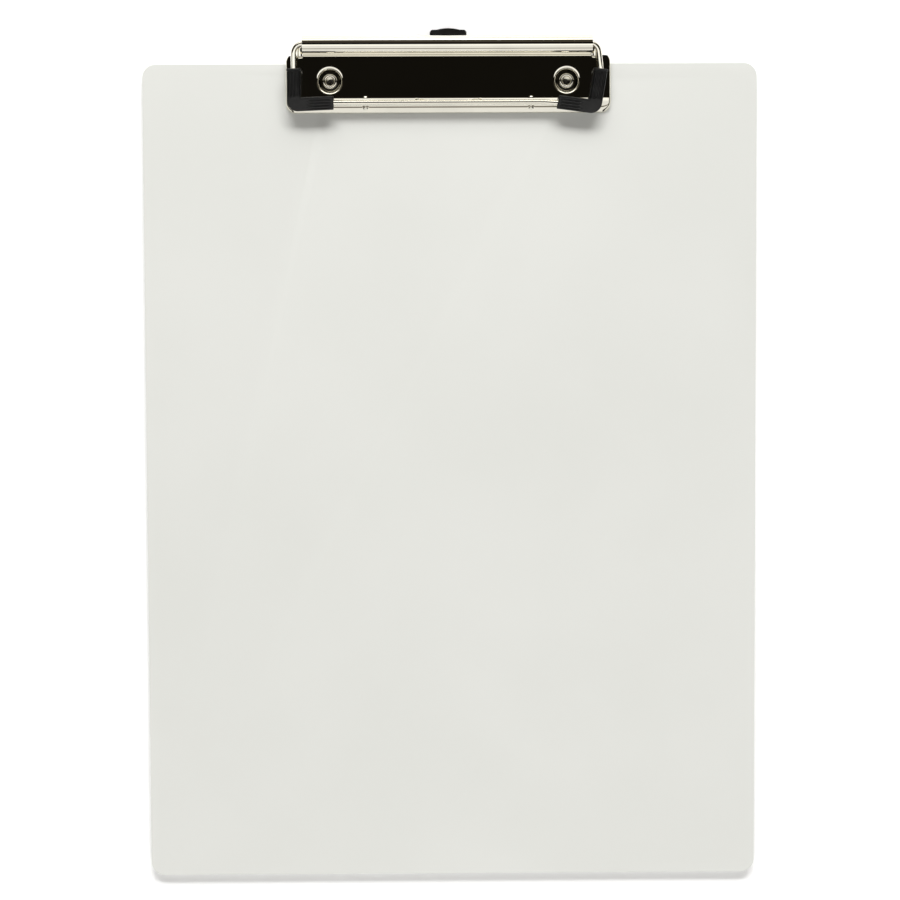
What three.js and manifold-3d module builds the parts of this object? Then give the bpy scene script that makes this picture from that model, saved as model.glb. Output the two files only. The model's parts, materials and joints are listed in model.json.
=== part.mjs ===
// Clipboard with a low-profile wire clip.
//
// A white panel carries a pressed nickel-plated base plate whose rear edge is rolled into a barrel.
// A spring-wire bail turns in the barrel and clamps paper on the plate with two rubber corner grips.
// Its two ends run back through the barrel as torsion legs and hook on the plate at the far ends.
// Two tubular rivets hold the plate to the panel, and a black hanger slides out from under the barrel.
//
// Frame: millimetres, origin at the centre of the panel's back face, +X right, +Y towards the clip,
// +Z out of the writing face.

import * as THREE from 'three';
import { mergeVertices } from 'three/addons/utils/BufferGeometryUtils.js';
import Module from 'manifold-3d';

const wasm = await Module();
wasm.setup();

// ---------------------------------------------------------------- driving dimensions

const panel = { width: 228.6, height: 304.8, thickness: 3.2, corner: 5, edgeBreak: 0.3 };
const topEdge = panel.height / 2;
const face = panel.thickness;

const clipX = -0.6; // the clip is riveted this far off the panel's centre line
const rest = 0.1; // gap left between pieces that lie on each other

const sheet = 0.8; // thickness of the plate's steel
const plate = {
  halfWidth: 60.3,
  flatEnd: topEdge - 12.4, // where the flat turns into the front shoulder
  tongueEnd: topEdge + 2.75,
  slope: THREE.MathUtils.degToRad(1), // the flat rises towards the front
  knee: topEdge + 3.6, // where the sheet turns up towards the barrel
  rise: THREE.MathUtils.degToRad(4),
  flange: THREE.MathUtils.degToRad(43),
  frontShoulder: 7,
  sideShoulder: 1.2,
  corner: 3.5,
  tongueCorner: 2.2,
};
const barrel = { x: -0.3, y: topEdge + 6.35, z: face + 5.6, radius: 3.4, halfLength: 53.5 };
const barrelEnds = { left: barrel.x - barrel.halfLength, right: barrel.x + barrel.halfLength };
const bore = barrel.radius - sheet;
const rollTurn = THREE.MathUtils.degToRad(312);

const bead = { x: 30.7, y: topEdge - 14.5, radius: 1.5, length: 1.7, wall: 0.7 };
const scoop = { halfLength: 11.2, radius: 2.2, y: topEdge - 15.1, z: face + 4.4 };

const rivet = {
  x: 43.9,
  y: topEdge - 6.5,
  shank: 1.95,
  hole: 1.5,
  holeEnd: 1.2, // the hole is blind, and stops here above the panel's back
  head: 4,
  headHeight: 0.85,
  headRound: 0.4,
  sink: 4.3, // radius of the pocket for the head
  lip: { reach: 0.8, height: 0.95 }, // the rolled end, outwards from the shank and up from its seat
};
const cup = { top: 5.3, bottom: 3.7, flare: 0.3 };

const wire = 1.05; // radius of the spring wire
const pair = { y: 0.3, z: 1.2 }; // how far each of the barrel's two wires lies off its centre
const hinge = { y: barrel.y + pair.y, z: barrel.z + pair.z };
const bail = {
  reach: 21.6, // from the hinge axis to the bar
  dip: THREE.MathUtils.degToRad(6), // how far the closed bail drops towards the bar
  pintle: 50, // how far from the centre each end of the bail enters the barrel
  leftArm: -57.05,
  rightArm: 55.2,
  bend: 3.5,
  bow: 36, // where the bar starts to bow forwards
  corner: { x: 54.1, bow: 1.4 }, // the bar's right end, this far in front of the rest of it
  knee: { x: 56.4, y: -9.5 }, // the right arm is kinked outwards here
};
const splitGap = 0.3; // between a turning end of the bail and the leg that continues it
const swap = 8; // half the length over which the two legs change places
const hook = { clear: wire + rest, end: topEdge + 2.1, bend: 1.2, lead: 4 };

const grip = { halfWidth: 2.55, below: 1.45, above: 2.3, corner: 4, round: 0.6, channel: wire + 0.15 };
// Each grip's centre line in the bail's own plane: its rear end, its corner and its inner end.
const gripLines = {
  left: [[-57, -8.95], [-57, -22.1], [-42.5, -21.5]],
  right: [[56.3, -9.3], [54.05, -23.2], [40.5, -21.4]],
};

const hanger = {
  halfWidth: 6.8,
  bottom: face - 0.9,
  top: face + 0.7,
  tail: topEdge - 15.4,
  tailEnd: topEdge - 13.6, // behind this the tongue narrows from its tail
  tailHalf: 8.4,
  lipFront: barrel.y + barrel.radius + 0.3,
  lipRear: topEdge + 12.1,
  lipTop: face + 3.2,
  lipCorner: 1,
  bump: { halfWidth: 4.2, height: 0.6 },
  hole: 3.5,
  holeY: topEdge + 5.6,
};
const travel = 12; // how far the hanger slides out
const groove = {
  clearance: 0.3,
  depth: 1.2,
  front: topEdge - 15.9,
  stop: hanger.tailEnd + travel + 0.3, // the tail's shoulders meet the groove's here
};

// ---------------------------------------------------------------- materials

const finish = (color, roughness, metalness) => new THREE.MeshStandardMaterial({ color, roughness, metalness });
const materials = {
  panel: finish('#e7e8e3', 0.35, 0),
  nickel: finish('#cfcbc0', 0.12, 1),
  rubber: finish('#161617', 0.6, 0),
  plastic: finish('#1a1a1b', 0.45, 0),
};

// ---------------------------------------------------------------- helpers

// A closed three.js geometry as a solid that can be joined and cut.
function solid(geometry) {
  const bare = geometry.clone();
  bare.deleteAttribute('normal');
  bare.deleteAttribute('uv');
  const welded = mergeVertices(bare, 1e-4);
  const vertProperties = new Float32Array(welded.attributes.position.array);
  const triVerts = new Uint32Array(welded.index.array);
  return new wasm.Manifold(new wasm.Mesh({ numProp: 3, vertProperties, triVerts }));
}

function geometryOf(body) {
  const mesh = body.getMesh();
  const geometry = new THREE.BufferGeometry();
  geometry.setAttribute('position', new THREE.BufferAttribute(mesh.vertProperties, 3));
  geometry.setIndex(new THREE.BufferAttribute(mesh.triVerts, 1));
  geometry.computeVertexNormals();
  return geometry;
}

function part(name, body, material) {
  const mesh = new THREE.Mesh(geometryOf(body), material);
  mesh.name = name;
  return mesh;
}

function extrude(shape, depth, curveSegments = 6) {
  return new THREE.ExtrudeGeometry(shape, { depth, curveSegments, bevelEnabled: false });
}

// Extrudes an outline drawn in the Y-Z plane along X, from -halfLength to halfLength.
function alongX(shape, halfLength, curveSegments) {
  const axes = new THREE.Matrix4().makeBasis(
    new THREE.Vector3(0, 1, 0), new THREE.Vector3(0, 0, 1), new THREE.Vector3(1, 0, 0));
  return extrude(shape, 2 * halfLength, curveSegments).applyMatrix4(axes).translate(-halfLength, 0, 0);
}

// Extrudes an outline drawn in the X-Z plane along Y, from low to high.
function alongY(shape, low, high, curveSegments) {
  return extrude(shape, high - low, curveSegments).rotateX(Math.PI / 2).translate(0, high, 0);
}

// Extrudes an outline drawn in the X-Y plane along Z, from low to high.
function alongZ(shape, low, high, curveSegments) {
  return extrude(shape, high - low, curveSegments).translate(0, 0, low);
}

function block(low, high) {
  const size = high.map((value, axis) => value - low[axis]);
  const middle = high.map((value, axis) => (value + low[axis]) / 2);
  return new THREE.BoxGeometry(...size).translate(...middle);
}

// A round bar or cone standing along Z.
function post(x, y, low, high, bottomRadius, topRadius = bottomRadius, segments = 24) {
  const bar = new THREE.CylinderGeometry(topRadius, bottomRadius, high - low, segments);
  return bar.rotateX(Math.PI / 2).translate(x, y, (low + high) / 2);
}

// Replaces each inner corner of a route with a bend of the given radius.
function bentRoute(corners, radius, steps = 5) {
  const points = [corners[0]];
  for (let i = 1; i < corners.length - 1; i += 1) {
    const back = corners[i - 1].clone().sub(corners[i]).normalize();
    const ahead = corners[i + 1].clone().sub(corners[i]).normalize();
    const start = radius * Math.tan((Math.PI - back.angleTo(ahead)) / 2);
    const bend = new THREE.QuadraticBezierCurve3(
      corners[i].clone().addScaledVector(back, start),
      corners[i],
      corners[i].clone().addScaledVector(ahead, start));
    points.push(...bend.getPoints(steps));
  }
  points.push(corners[corners.length - 1]);
  return points;
}

// A round wire with one ring of vertices at each point of the route.
function wireAlong(points, radius, sides = 10) {
  const route = new THREE.CatmullRomCurve3(points);
  route.getPointAt = route.getPoint;
  route.getTangentAt = route.getTangent;
  const section = new THREE.Shape().absarc(0, 0, radius, 0, 2 * Math.PI);
  return new THREE.ExtrudeGeometry(section, {
    extrudePath: route,
    steps: points.length - 1,
    curveSegments: sides / 2,
  });
}

const mirrored = (make, distance) => [make(-distance), make(distance)];

// ---------------------------------------------------------------- panel

function makePanel() {
  const x = panel.width / 2;
  const y = panel.height / 2;
  const r = panel.corner;
  const outline = new THREE.Shape();
  outline.absarc(x - r, y - r, r, 0, Math.PI / 2);
  outline.absarc(r - x, y - r, r, Math.PI / 2, Math.PI);
  outline.absarc(r - x, r - y, r, Math.PI, 1.5 * Math.PI);
  outline.absarc(x - r, r - y, r, 1.5 * Math.PI, 2 * Math.PI);
  const slab = new THREE.ExtrudeGeometry(outline, {
    depth: panel.thickness - 2 * panel.edgeBreak,
    bevelThickness: panel.edgeBreak,
    bevelSize: panel.edgeBreak,
    bevelOffset: -panel.edgeBreak,
    bevelSegments: 1,
    curveSegments: 5,
  }).translate(0, 0, panel.edgeBreak);
  let body = solid(slab);

  for (const [half, end] of [[hanger.halfWidth, topEdge + 1], [hanger.tailHalf, groove.stop]]) {
    const reach = half + groove.clearance;
    const channel = block(
      [clipX - reach, groove.front, face - groove.depth], [clipX + reach, end, face + 1]);
    body = body.subtract(solid(channel));
  }

  const sinkTop = rest + rivet.headHeight + rest;
  for (const rivetX of mirrored((side) => clipX + side, rivet.x)) {
    body = body.subtract(solid(post(rivetX, rivet.y, -1, face + 1, rivet.shank + rest)));
    body = body.subtract(solid(post(rivetX, rivet.y, -1, sinkTop, rivet.sink)));
  }
  return body;
}

// ---------------------------------------------------------------- base plate

const { slope, rise, flange } = plate;

// Where the sheet runs tangentially into the barrel, on the sheet face at this depth.
function rollStart(depth) {
  const r = bore + depth;
  return new THREE.Vector2(barrel.y + r * Math.sin(rise), barrel.z - r * Math.cos(rise));
}

const kneeZ = rollStart(0).y - (rollStart(0).x - plate.knee) * Math.tan(rise);
const flatZ = (y) => kneeZ + (plate.knee - y) * Math.tan(slope);

// The bend between the flat and the strip that rises to the barrel, on the sheet face at this depth.
function knee(depth) {
  const lean = (slope - rise) / 2;
  const down = depth / Math.cos((slope + rise) / 2);
  return new THREE.Vector2(plate.knee - down * Math.sin(lean), kneeZ - down * Math.cos(lean));
}

const shoulderCentre = new THREE.Vector2(
  plate.flatEnd - plate.frontShoulder * Math.sin(slope),
  flatZ(plate.flatEnd) - plate.frontShoulder * Math.cos(slope));
const crestZ = shoulderCentre.y + plate.frontShoulder;
const foot = face + rest;

// The lower edge of the front flange, on the sheet face at this depth.
function flangeEnd(depth, z) {
  const r = plate.frontShoulder - depth;
  const y = shoulderCentre.x - r * Math.sin(flange);
  const top = shoulderCentre.y + r * Math.cos(flange);
  return new THREE.Vector2(y - (top - z) / Math.tan(flange), z);
}

// The space under the sheet face at this depth, drawn in the Y-Z plane.
function lengthwise(depth, bottom, past) {
  const start = rollStart(depth);
  const outline = new THREE.Shape();
  outline.moveTo(start.x + past, bottom);
  outline.lineTo(start.x + past, start.y + past * Math.tan(rise));
  outline.lineTo(...knee(depth));
  const from = Math.PI / 2 - slope;
  const to = Math.PI / 2 + flange;
  outline.absarc(shoulderCentre.x, shoulderCentre.y, plate.frontShoulder - depth, from, to);
  outline.lineTo(flangeEnd(depth, bottom).x, bottom);
  return outline;
}

// The same space, drawn in the X-Z plane.
function crosswise(depth, bottom) {
  const x = plate.halfWidth - depth;
  const r = plate.sideShoulder - depth;
  const top = crestZ - depth;
  const outline = new THREE.Shape();
  outline.moveTo(x, bottom);
  outline.lineTo(x, top - r);
  outline.absarc(x - r, top - r, r, 0, Math.PI / 2);
  outline.absarc(r - x, top - r, r, Math.PI / 2, Math.PI);
  outline.lineTo(-x, bottom);
  return outline;
}

// The plan of the plate, with rounded front corners and the flat running on to the barrel.
function plan(depth, past) {
  const x = plate.halfWidth - depth;
  const front = flangeEnd(0, foot).x + depth / Math.sin(flange);
  const r = plate.corner - depth;
  const t = plate.tongueCorner;
  const side = plate.tongueEnd + past;
  const outline = new THREE.Shape();
  outline.absarc(x - t, side - t, t, 0, Math.PI / 2);
  outline.lineTo(barrelEnds.right, side);
  outline.lineTo(barrelEnds.right, barrel.y + 1 + past);
  outline.lineTo(barrelEnds.left, barrel.y + 1 + past);
  outline.lineTo(barrelEnds.left, side);
  outline.absarc(t - x, side - t, t, Math.PI / 2, Math.PI);
  outline.absarc(r - x, front + r, r, Math.PI, 1.5 * Math.PI);
  outline.absarc(x - r, front + r, r, 1.5 * Math.PI, 2 * Math.PI);
  return outline;
}

// What the sheet covers, or with a depth what it leaves hollow; past carries it on beyond the tongue.
function pan(depth, bottom, past) {
  const over = 5;
  const sections = solid(alongX(lengthwise(depth, bottom, past), plate.halfWidth - depth));
  const sides = solid(alongY(crosswise(depth, bottom), flangeEnd(0, foot).x - over, barrel.y + over));
  const outline = solid(alongZ(plan(depth, past), bottom, crestZ + over));
  return sections.intersect(sides).intersect(outline);
}

// The beads that carry the bar, pressed up from the sheet; depth shrinks them for its underside.
function beads(depth) {
  const top = hinge.z - bail.reach * Math.sin(bail.dip) - wire - rest;
  return mirrored((x) => solid(new THREE.CapsuleGeometry(bead.radius - depth, bead.length, 4, 12)
    .translate(x, bead.y, top - bead.radius)), bead.x);
}

// The finger hollow pressed into the shoulder under the bar; depth grows it for its underside.
function fingerScoop(depth) {
  const hollow = new THREE.CapsuleGeometry(scoop.radius + depth, 2 * scoop.halfLength, 6, 16);
  return solid(hollow.rotateZ(Math.PI / 2).translate(0, scoop.y, scoop.z));
}

function rolledBarrel() {
  const start = 1.5 * Math.PI + rise - 0.1;
  const end = start + rollTurn;
  const roll = new THREE.Shape();
  roll.absarc(barrel.y, barrel.z, barrel.radius, start, end);
  roll.absarc(barrel.y, barrel.z, bore, end, start, true);
  return solid(alongX(roll, barrel.halfLength, 12).translate(barrel.x, 0, 0));
}

function makeBasePlate() {
  let outside = pan(0, foot, 0.1);
  let inside = pan(sheet, face - 2, 3);
  for (const body of beads(0)) outside = outside.add(body);
  for (const body of beads(bead.wall)) inside = inside.add(body);
  outside = outside.subtract(fingerScoop(0));
  inside = inside.subtract(fingerScoop(sheet));
  let body = outside.subtract(inside).add(rolledBarrel());

  for (const x of mirrored((side) => side, rivet.x)) {
    const wall = solid(post(x, rivet.y, foot, crestZ, cup.bottom + sheet, cup.top + sheet, 32));
    const hollow = solid(post(x, rivet.y, foot + sheet, crestZ + 1, cup.bottom, cup.top + cup.flare, 32));
    const hole = solid(post(x, rivet.y, face - 1, crestZ, rivet.shank + rest));
    body = body.add(wall.intersect(outside)).subtract(hollow).subtract(hole);
  }
  return body;
}

// ---------------------------------------------------------------- rivets

function makeRivet() {
  const { shank, hole, holeEnd, head, headHeight, headRound, lip } = rivet;
  const seat = foot + sheet + rest;
  const under = rest + headHeight;
  const edge = shank + 0.75 * lip.reach;
  const profile = [
    [0, rest], [head - headRound, rest], [head, rest + headRound], [head, under],
    [shank, under], [shank, seat], [edge, seat], [shank + lip.reach, seat + 0.4 * lip.height],
    [edge, seat + 0.85 * lip.height], [shank, seat + lip.height], [hole, seat + 0.6 * lip.height],
    [hole, holeEnd], [0, holeEnd],
  ];
  const points = profile.map(([r, z]) => new THREE.Vector2(r, z));
  return solid(new THREE.LatheGeometry(points, 24).rotateX(Math.PI / 2));
}

// ---------------------------------------------------------------- bail and torsion legs

// Corners of the bail's route in its own flat plane, hinge axis at y = 0.
function bailRoute() {
  const bar = -bail.reach;
  const corners = [
    [-bail.pintle, 0], [bail.leftArm, 0], [bail.leftArm, bar], [bail.bow, bar],
    [bail.corner.x, bar - bail.corner.bow], [bail.knee.x, bail.knee.y],
    [bail.rightArm, 0], [bail.pintle, 0],
  ];
  return bentRoute(corners.map(([x, y]) => new THREE.Vector3(x, y, 0)), bail.bend);
}

// One torsion leg: it starts next to the bail's end on side -1 or 1, changes places with the other
// leg by half a turn round the barrel's centre, and hooks down on to the plate at the far end.
function makeTorsionLeg(side) {
  const turnSteps = 8;
  const place = (x, turn) => new THREE.Vector3(
    x,
    barrel.y + pair.y * Math.cos(turn) - pair.z * Math.sin(turn),
    barrel.z + pair.z * Math.cos(turn) + pair.y * Math.sin(turn));
  const points = [place(side * (bail.pintle - splitGap), 0)];
  for (let i = 0; i <= turnSteps; i += 1) {
    const t = i / turnSteps;
    points.push(place(side * swap * (1 - 2 * t), side * Math.PI * t));
  }
  const far = side < 0 ? barrelEnds.right + hook.clear : barrelEnds.left - hook.clear;
  const tipZ = flatZ(hook.end) + hook.clear + rest / 2;
  const corners = [
    place(-side * (barrel.halfLength - hook.lead), Math.PI),
    place(far, Math.PI),
    new THREE.Vector3(far, hook.end, tipZ),
  ];
  return solid(wireAlong([...points, ...bentRoute(corners, hook.bend)], wire));
}

// A rubber corner: an L-shaped block round the wire, its legs following the wire's own corner.
function makeGrip(line) {
  const [rear, corner, inner] = line.map(([x, y]) => new THREE.Vector2(x, y));
  const w = grip.halfWidth;
  const forward = corner.clone().sub(rear).normalize();
  const outward = corner.clone().sub(inner).normalize();
  const offset = (point, a, b) => point.clone().addScaledVector(outward, a).addScaledVector(forward, b);
  const outline = new THREE.Shape();
  outline.moveTo(...offset(rear, w, 0));
  outline.lineTo(...offset(corner, w, w - grip.corner));
  outline.quadraticCurveTo(...offset(corner, w, w), ...offset(corner, w - grip.corner, w));
  outline.lineTo(...offset(inner, 0, w));
  outline.lineTo(...offset(inner, 0, -w));
  outline.lineTo(...offset(corner, -w, -w));
  outline.lineTo(...offset(rear, -w, 0));
  const sleeve = new THREE.ExtrudeGeometry(outline, {
    depth: grip.below + grip.above - 2 * grip.round,
    bevelThickness: grip.round,
    bevelSize: grip.round,
    bevelOffset: -grip.round,
    bevelSegments: 2,
    curveSegments: 5,
  }).translate(0, 0, grip.round - grip.below);
  return solid(sleeve).subtract(solid(wireAlong(bailRoute(), grip.channel)));
}

// ---------------------------------------------------------------- hanger

function makeHanger() {
  const w = hanger.halfWidth;
  const tongue = new THREE.Shape();
  tongue.moveTo(-hanger.tailHalf, hanger.tail);
  tongue.lineTo(hanger.tailHalf, hanger.tail);
  tongue.lineTo(hanger.tailHalf, hanger.tailEnd);
  tongue.lineTo(w, hanger.tailEnd);
  tongue.lineTo(w, hanger.lipRear);
  tongue.lineTo(-w, hanger.lipRear);
  tongue.lineTo(-w, hanger.tailEnd);
  tongue.lineTo(-hanger.tailHalf, hanger.tailEnd);
  tongue.holes.push(new THREE.Path().absarc(0, hanger.holeY, hanger.hole, 0, 2 * Math.PI));

  const { bump, lipCorner: r, lipRear: rear } = hanger;
  const lip = new THREE.Shape();
  lip.moveTo(-w, hanger.lipFront);
  lip.lineTo(w, hanger.lipFront);
  lip.absarc(w - r, rear - r, r, 0, Math.PI / 2);
  lip.lineTo(bump.halfWidth, rear);
  lip.quadraticCurveTo(0, rear + 2 * bump.height, -bump.halfWidth, rear);
  lip.absarc(r - w, rear - r, r, Math.PI / 2, Math.PI);
  return solid(alongZ(tongue, hanger.bottom, hanger.top, 12))
    .add(solid(alongZ(lip, hanger.bottom, hanger.lipTop)));
}

// ---------------------------------------------------------------- assembly

const clipboard = new THREE.Group();
clipboard.add(part('board', makePanel(), materials.panel));

const clip = new THREE.Group();
clip.position.x = clipX;
clipboard.add(clip);
clip.add(part('base_plate', makeBasePlate(), materials.nickel));
clip.add(part('torsion_leg_left', makeTorsionLeg(-1), materials.nickel));
clip.add(part('torsion_leg_right', makeTorsionLeg(1), materials.nickel));
clip.add(part('hanger', makeHanger(), materials.plastic));
for (const [name, x] of [['rivet_left', -rivet.x], ['rivet_right', rivet.x]]) {
  const mesh = part(name, makeRivet(), materials.nickel);
  mesh.position.set(x, rivet.y, 0);
  clip.add(mesh);
}

const bailFrame = new THREE.Group();
bailFrame.position.set(0, hinge.y, hinge.z);
bailFrame.rotation.x = bail.dip;
clip.add(bailFrame);
bailFrame.add(part('bail_wire', solid(wireAlong(bailRoute(), wire)), materials.nickel));

bailFrame.add(part('corner_grip_left', makeGrip(gripLines.left), materials.rubber));
bailFrame.add(part('corner_grip_right', makeGrip(gripLines.right), materials.rubber));

export default clipboard;
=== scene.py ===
"""Looks for the clipboard: smooth visible pieces, finishes, floor, light and camera round its CAD frame.

Lengths are millimetres in the part's own frame, +Y towards the clip and +Z out of the writing face.
They become metres where a mesh, a light or the camera is made."""

import json
import math

import bmesh
import bpy
import numpy as np
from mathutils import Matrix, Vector


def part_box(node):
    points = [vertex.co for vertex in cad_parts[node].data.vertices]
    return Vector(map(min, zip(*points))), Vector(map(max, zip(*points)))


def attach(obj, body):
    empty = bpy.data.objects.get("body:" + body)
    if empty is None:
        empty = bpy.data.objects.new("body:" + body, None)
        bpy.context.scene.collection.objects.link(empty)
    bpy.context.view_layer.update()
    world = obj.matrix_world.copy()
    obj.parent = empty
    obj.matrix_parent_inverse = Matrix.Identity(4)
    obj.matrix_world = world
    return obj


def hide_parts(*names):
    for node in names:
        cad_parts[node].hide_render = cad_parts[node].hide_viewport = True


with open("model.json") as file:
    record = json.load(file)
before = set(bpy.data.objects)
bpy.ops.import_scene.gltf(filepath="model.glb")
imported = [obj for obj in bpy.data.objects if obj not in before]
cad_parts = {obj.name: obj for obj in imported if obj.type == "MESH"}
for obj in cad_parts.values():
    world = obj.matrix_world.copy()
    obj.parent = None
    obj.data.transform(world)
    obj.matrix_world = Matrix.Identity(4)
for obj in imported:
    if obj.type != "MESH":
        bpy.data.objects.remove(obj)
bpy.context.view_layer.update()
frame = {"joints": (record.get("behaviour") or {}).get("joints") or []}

MM = 0.001


# ---------------------------------------------------------------- sizes from the frame

def box_mm(node):
    """Lowest and highest corner of a CAD node, in millimetres."""
    low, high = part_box(node)
    return np.array(low) / MM, np.array(high) / MM


board_low, board_high = box_mm("board")
plate_low, plate_high = box_mm("base_plate")
hanger_low, hanger_high = box_mm("hanger")
hinge = next(j for j in frame["joints"] if j["name"] == "bail_hinge")["pos_m"]
CLIP_X = hinge[0] / MM
HINGE_Y = hinge[1] / MM
HINGE_Z = hinge[2] / MM
FACE = board_high[2]
TOP_EDGE = board_high[1]

REST = 0.1  # gap between pieces that lie on each other
SHEET = 0.8  # the plate's steel
WIRE = 1.05  # radius of the spring wire

HALF_WIDTH = (plate_high[0] - plate_low[0]) / 2
FOOT = plate_low[2]
BARREL_R = 3.4
BORE = BARREL_R - SHEET
BARREL_Y = plate_high[1] - BARREL_R
BARREL_Z = plate_high[2] - BARREL_R
BARREL_X = -0.3  # the barrel's middle, from the clip's
BARREL_HALF = 53.5
BARREL_LEFT = BARREL_X - BARREL_HALF
BARREL_RIGHT = BARREL_X + BARREL_HALF

BAIL_DIP = math.radians(6)  # how far the closed bail drops towards its bar
BAR = -21.6  # the bar's place in the bail's own plane, from the hinge


# ---------------------------------------------------------------- mesh helpers

def finish_piece(name, mesh, material, body, nodes, sharp=38):
    """Makes the object, shades it smooth but for its sharp edges, and ties it to the frame."""
    mesh.polygons.foreach_set("use_smooth", [True] * len(mesh.polygons))
    mesh.set_sharp_from_angle(angle=math.radians(sharp))
    piece = bpy.data.objects.new(name, mesh)
    bpy.context.scene.collection.objects.link(piece)
    piece.data.materials.clear()
    piece.data.materials.append(material)
    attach(piece, body)
    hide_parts(*nodes)
    return piece


def mesh_of(name, points, faces):
    """A mesh from points in millimetres, with its faces turned outwards."""
    mesh = bpy.data.meshes.new(name)
    mesh.from_pydata((np.asarray(points, float) * MM).tolist(), [], faces)
    work = bmesh.new()
    work.from_mesh(mesh)
    bmesh.ops.recalc_face_normals(work, faces=work.faces)
    work.to_mesh(mesh)
    work.free()
    return mesh


def joined_rings(rings, close_start=True, close_end=True):
    """Points and faces of a skin through rings of equal length, with fans over its ends."""
    count = len(rings[0])
    points = [p for ring in rings for p in ring]
    faces = []
    for k in range(len(rings) - 1):
        for i in range(count):
            j = (i + 1) % count
            faces.append((k * count + i, k * count + j, (k + 1) * count + j, (k + 1) * count + i))
    last = (len(rings) - 1) * count
    if close_start:
        points.append(np.mean(rings[0], axis=0))
        faces += [(len(points) - 1, (i + 1) % count, i) for i in range(count)]
    if close_end:
        points.append(np.mean(rings[-1], axis=0))
        faces += [(len(points) - 1, last + i, last + (i + 1) % count) for i in range(count)]
    return points, faces


def filleted(corners, radii, turn=6):
    """The corners as a smooth route: each inner corner becomes an arc of its radius."""
    corners = [np.array(c, float) for c in corners]
    route = [corners[0]]
    for corner, radius, before, after in zip(corners[1:-1], radii, corners, corners[2:]):
        back = (before - corner) / np.linalg.norm(before - corner)
        ahead = (after - corner) / np.linalg.norm(after - corner)
        half = math.acos(np.clip(back @ ahead, -1, 1)) / 2
        middle = (back + ahead) / np.linalg.norm(back + ahead)
        centre = corner + middle * radius / math.sin(half)
        sweep = math.pi - 2 * half
        steps = max(3, round(math.degrees(sweep) / turn))
        side = (back - ahead) / np.linalg.norm(back - ahead)
        for k in range(steps + 1):
            angle = sweep * (k / steps - 0.5)
            route.append(centre - middle * radius * math.cos(angle) - side * radius * math.sin(angle))
    route.append(corners[-1])
    return route


def wire_rings(route, radius, sides=24, end_round=0.35):
    """Rings of a round wire along a route, with a small rounding at each end."""
    route = np.array(route)
    tangents = np.gradient(route, axis=0)
    tangents /= np.linalg.norm(tangents, axis=1)[:, None]
    normal = np.cross(tangents[0], (0.0, 0.0, 1.0))
    normal /= np.linalg.norm(normal)
    angles = np.linspace(0, 2 * math.pi, sides, endpoint=False)
    rings = []
    for k, (place, tangent) in enumerate(zip(route, tangents)):
        normal = normal - tangent * (normal @ tangent)
        normal /= np.linalg.norm(normal)
        other = np.cross(tangent, normal)
        circle = np.outer(np.cos(angles), normal) + np.outer(np.sin(angles), other)
        at_end = k in (0, len(route) - 1)
        if not at_end:
            rings.append(place + circle * radius)
            continue
        inwards = tangent if k == 0 else -tangent
        rounding = []
        for lift in np.radians([90, 60, 30, 0]):
            deep = end_round * (1 - math.sin(lift))
            narrower = radius - end_round + end_round * math.cos(lift)
            rounding.append(place + inwards * deep + circle * narrower)
        rings += rounding if k == 0 else rounding[::-1]
    return rings


def lathe(profile, x, y, segments=96):
    """A turned piece: profile points (radius, z), from the axis back to the axis."""
    angles = np.linspace(0, 2 * math.pi, segments, endpoint=False)
    rings = [
        np.column_stack((x + r * np.cos(angles), y + r * np.sin(angles), np.full(segments, z)))
        for r, z in profile[1:-1]
    ]
    points, faces = joined_rings(rings)
    points[-2] = np.array((x, y, profile[0][1]))
    points[-1] = np.array((x, y, profile[-1][1]))
    return points, faces


def arc(centre, radius, start, end, steps):
    """Points of an arc in a plane, angles in degrees."""
    return [
        (centre[0] + radius * math.cos(a), centre[1] + radius * math.sin(a))
        for a in np.radians(np.linspace(start, end, steps + 1))
    ]


def extruded(outline, low, high):
    """A closed prism over an outline of (x, y) points."""
    rings = [[(x, y, z) for x, y in outline] for z in (low, high)]
    count = len(outline)
    points = rings[0] + rings[1]
    faces = [tuple(range(count))[::-1], tuple(range(count, 2 * count))]
    faces += [(i, (i + 1) % count, count + (i + 1) % count, count + i) for i in range(count)]
    return points, faces


def shaped(base, cuts=(), joins=(), bevel=0.0, segments=4):
    """A solid after boolean joins and cuts and a bevel, as a plain mesh."""
    holder = bpy.data.objects.new("work", base)
    bpy.context.scene.collection.objects.link(holder)
    helpers = []
    for operation, meshes in (("UNION", joins), ("DIFFERENCE", cuts)):
        for mesh in meshes:
            helper = bpy.data.objects.new("helper", mesh)
            bpy.context.scene.collection.objects.link(helper)
            helpers.append(helper)
            step = holder.modifiers.new("step", "BOOLEAN")
            step.operation = operation
            step.solver = "EXACT"
            step.object = helper
    if bevel:
        rounding = holder.modifiers.new("rounding", "BEVEL")
        rounding.width = bevel * MM
        rounding.segments = segments
        rounding.limit_method = "ANGLE"
        rounding.angle_limit = math.radians(40)
    graph = bpy.context.evaluated_depsgraph_get()
    result = bpy.data.meshes.new_from_object(holder.evaluated_get(graph))
    for helper in helpers + [holder]:
        bpy.data.objects.remove(helper)
    return result


# ---------------------------------------------------------------- materials

BOARD_WHITES = (0.624, 0.629, 0.600), (0.642, 0.646, 0.619)
NICKEL = (0.93, 0.90, 0.80)
STAINED = 0.94  # how bright the plating's stains are beside the rest
# near-black colour of the painted shade that darkens recesses
RECESS_SHADE = (0.02, 0.018, 0.014)
RUBBER_BLACKS = (0.0045, 0.0045, 0.0045), (0.010, 0.010, 0.0095)
PLASTIC_BLACKS = (0.005, 0.005, 0.0045), (0.009, 0.009, 0.008)
FLOOR_WHITES = (0.95, 0.95, 0.95), (0.96, 0.96, 0.96)


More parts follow.
